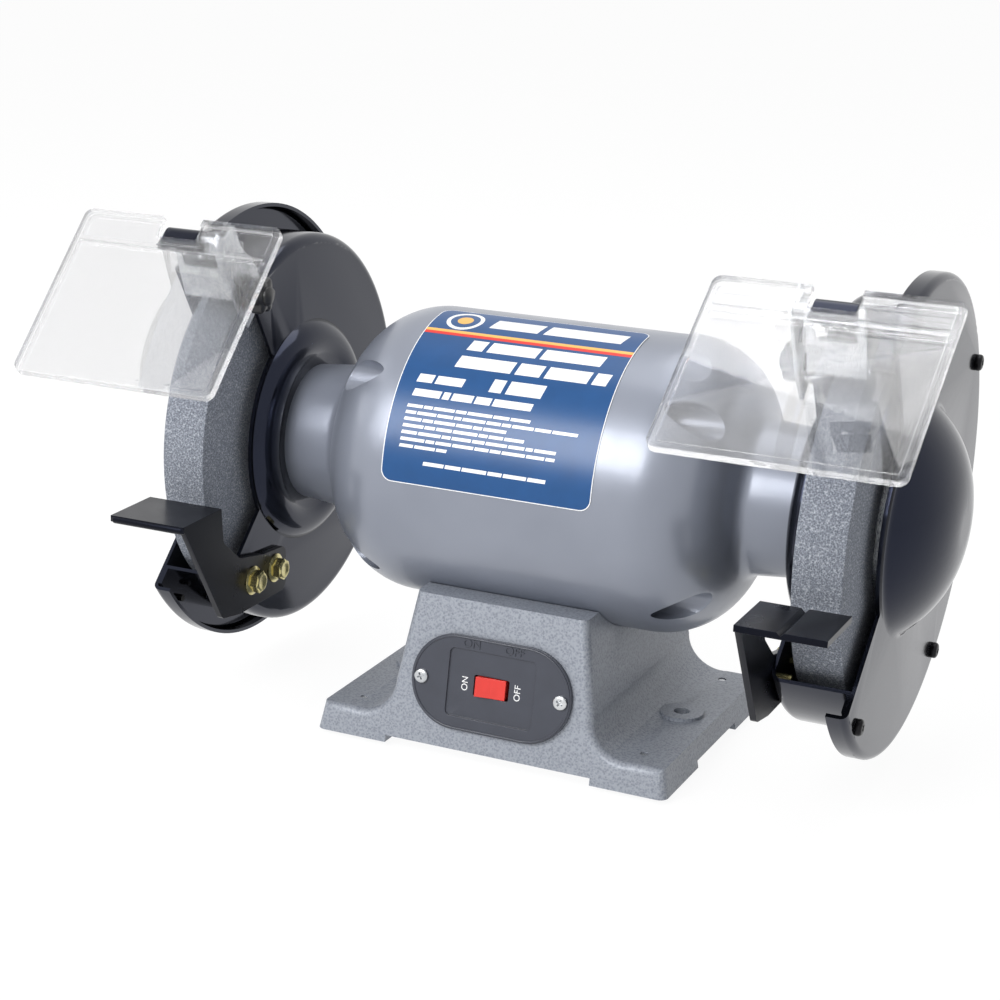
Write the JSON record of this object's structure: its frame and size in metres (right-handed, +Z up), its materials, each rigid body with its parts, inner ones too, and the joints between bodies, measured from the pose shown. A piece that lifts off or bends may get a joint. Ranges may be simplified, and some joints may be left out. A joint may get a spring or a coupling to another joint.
{
  "type": "bench grinder",
  "caption": "Bench grinder: a motor on a cast pedestal drives a shaft with an abrasive wheel at each end, inside sheet guards with tool rests, spark arrestors and clear tilting shields.",
  "frame": {"origin": "on the casting's underside, midway between the two bench bolt holes, below the shaft's middle", "axes": "+X along the shaft towards the right-hand wheel, +Y to the back, +Z up"},
  "size_m": [0.472, 0.3106, 0.2857],
  "materials": {
    "cast_iron_paint": "hammered grey enamel",
    "motor_paint": "smooth silver-grey enamel",
    "black_paint": "gloss black baked enamel",
    "abrasive": "vitrified aluminium oxide, coarse grain",
    "zinc": "bright zinc plate",
    "yellow_zinc": "yellow chromate zinc plate",
    "black_steel": "black oxide",
    "ground_steel": "turned and ground",
    "core_steel": "laminated electrical sheet",
    "copper_winding": "enamelled wire",
    "label": "printed polyester film",
    "clear_polycarbonate": "clear moulded sheet",
    "black_plastic": "moulded, fine texture",
    "red_plastic": "moulded, polished",
    "foot_rubber": "moulded"
  },
  "bodies": {
    "stand": {"base_casting": "cast_iron_paint", "bottom_cover": "zinc", "bottom_screws": "zinc", "foot_screws": "zinc", "rubber_feet": "foot_rubber", "motor_screws": "zinc", "inlet_gland": "black_plastic", "capacitor": "black_plastic", "switch_plate": "black_plastic", "switch_screws": "zinc", "switch_body": "black_plastic", "stator_shell": "motor_paint", "stator_core": "core_steel", "stator_windings": "copper_winding", "label_plate": "label", "left_end_bell": "motor_paint", "left_tie_screws": "zinc", "left_bearing_outer": "ground_steel", "left_guard_drum": "black_paint", "left_guard_cover": "black_paint", "left_cover_screws": "black_steel", "left_guard_screws": "zinc", "left_rest_bolts": "yellow_zinc", "left_spark_screws": "zinc", "right_end_bell": "motor_paint", "right_tie_screws": "zinc", "right_bearing_outer": "ground_steel", "right_guard_drum": "black_paint", "right_guard_cover": "black_paint", "right_cover_screws": "black_steel", "right_guard_screws": "zinc", "right_rest_bolts": "yellow_zinc", "right_spark_screws": "zinc"},
    "rotor": {"rotor_core": "core_steel", "rotor_shaft": "ground_steel", "left_bearing_inner": "ground_steel", "left_bearing_balls": "ground_steel", "left_grinding_wheel": "abrasive", "left_inner_flange": "zinc", "left_outer_flange": "zinc", "left_wheel_nut": "zinc", "right_bearing_inner": "ground_steel", "right_bearing_balls": "ground_steel", "right_grinding_wheel": "abrasive", "right_inner_flange": "zinc", "right_outer_flange": "zinc", "right_wheel_nut": "zinc"},
    "rocker": {"switch_rocker": "red_plastic"},
    "left_rest": {"left_tool_rest": "black_paint"},
    "left_spark": {"left_spark_arrestor": "zinc"},
    "left_bracket": {"left_shield_bracket": "zinc"},
    "left_knob": {"left_shield_knob": "black_plastic"},
    "left_visor": {"left_shield": "clear_polycarbonate", "left_shield_clamp": "black_steel"},
    "right_rest": {"right_tool_rest": "black_paint"},
    "right_spark": {"right_spark_arrestor": "zinc"},
    "right_bracket": {"right_shield_bracket": "zinc"},
    "right_knob": {"right_shield_knob": "black_plastic"},
    "right_visor": {"right_shield": "clear_polycarbonate", "right_shield_clamp": "black_steel"}
  },
  "joints": [
    {"name": "rotor_spin", "type": "hinge", "parent": "stand", "child": "rotor", "pos_m": [0, 0, 0.147], "axis": [1, 0, 0], "continuous": true},
    {"name": "switch_rock", "type": "hinge", "parent": "stand", "child": "rocker", "pos_m": [0, -0.07376, 0.04156], "axis": [0, 0.1478, 0.989], "range_deg": [-14, 0]},
    {"name": "left_rest_slide", "type": "slide", "parent": "stand", "child": "left_rest", "axis": [0, 1, 0], "range_m": [-0.006, 0.003]},
    {"name": "left_spark_slide", "type": "slide", "parent": "stand", "child": "left_spark", "axis": [0, 0.9336, -0.3584], "range_m": [0, 0.0055]},
    {"name": "left_bracket_swing", "type": "hinge", "parent": "stand", "child": "left_bracket", "pos_m": [-0.156, -0.068, 0.238], "axis": [1, 0, 0], "range_deg": [-4, 6]},
    {"name": "left_knob_turn", "type": "hinge", "parent": "stand", "child": "left_knob", "pos_m": [-0.148, -0.068, 0.238], "axis": [1, 0, 0], "continuous": true},
    {"name": "left_shield_tilt", "type": "hinge", "parent": "left_bracket", "child": "left_visor", "pos_m": [-0.176, -0.1, 0.27], "axis": [1, 0, 0], "range_deg": [-40, 12]},
    {"name": "right_rest_slide", "type": "slide", "parent": "stand", "child": "right_rest", "axis": [0, 1, 0], "range_m": [-0.006, 0.003]},
    {"name": "right_spark_slide", "type": "slide", "parent": "stand", "child": "right_spark", "axis": [0, 0.9336, -0.3584], "range_m": [0, 0.0055]},
    {"name": "right_bracket_swing", "type": "hinge", "parent": "stand", "child": "right_bracket", "pos_m": [0.156, -0.068, 0.238], "axis": [1, 0, 0], "range_deg": [-4, 6]},
    {"name": "right_knob_turn", "type": "hinge", "parent": "stand", "child": "right_knob", "pos_m": [0.148, -0.068, 0.238], "axis": [1, 0, 0], "continuous": true},
    {"name": "right_shield_tilt", "type": "hinge", "parent": "right_bracket", "child": "right_visor", "pos_m": [0.176, -0.1, 0.27], "axis": [1, 0, 0], "range_deg": [-40, 12]}
  ]
}
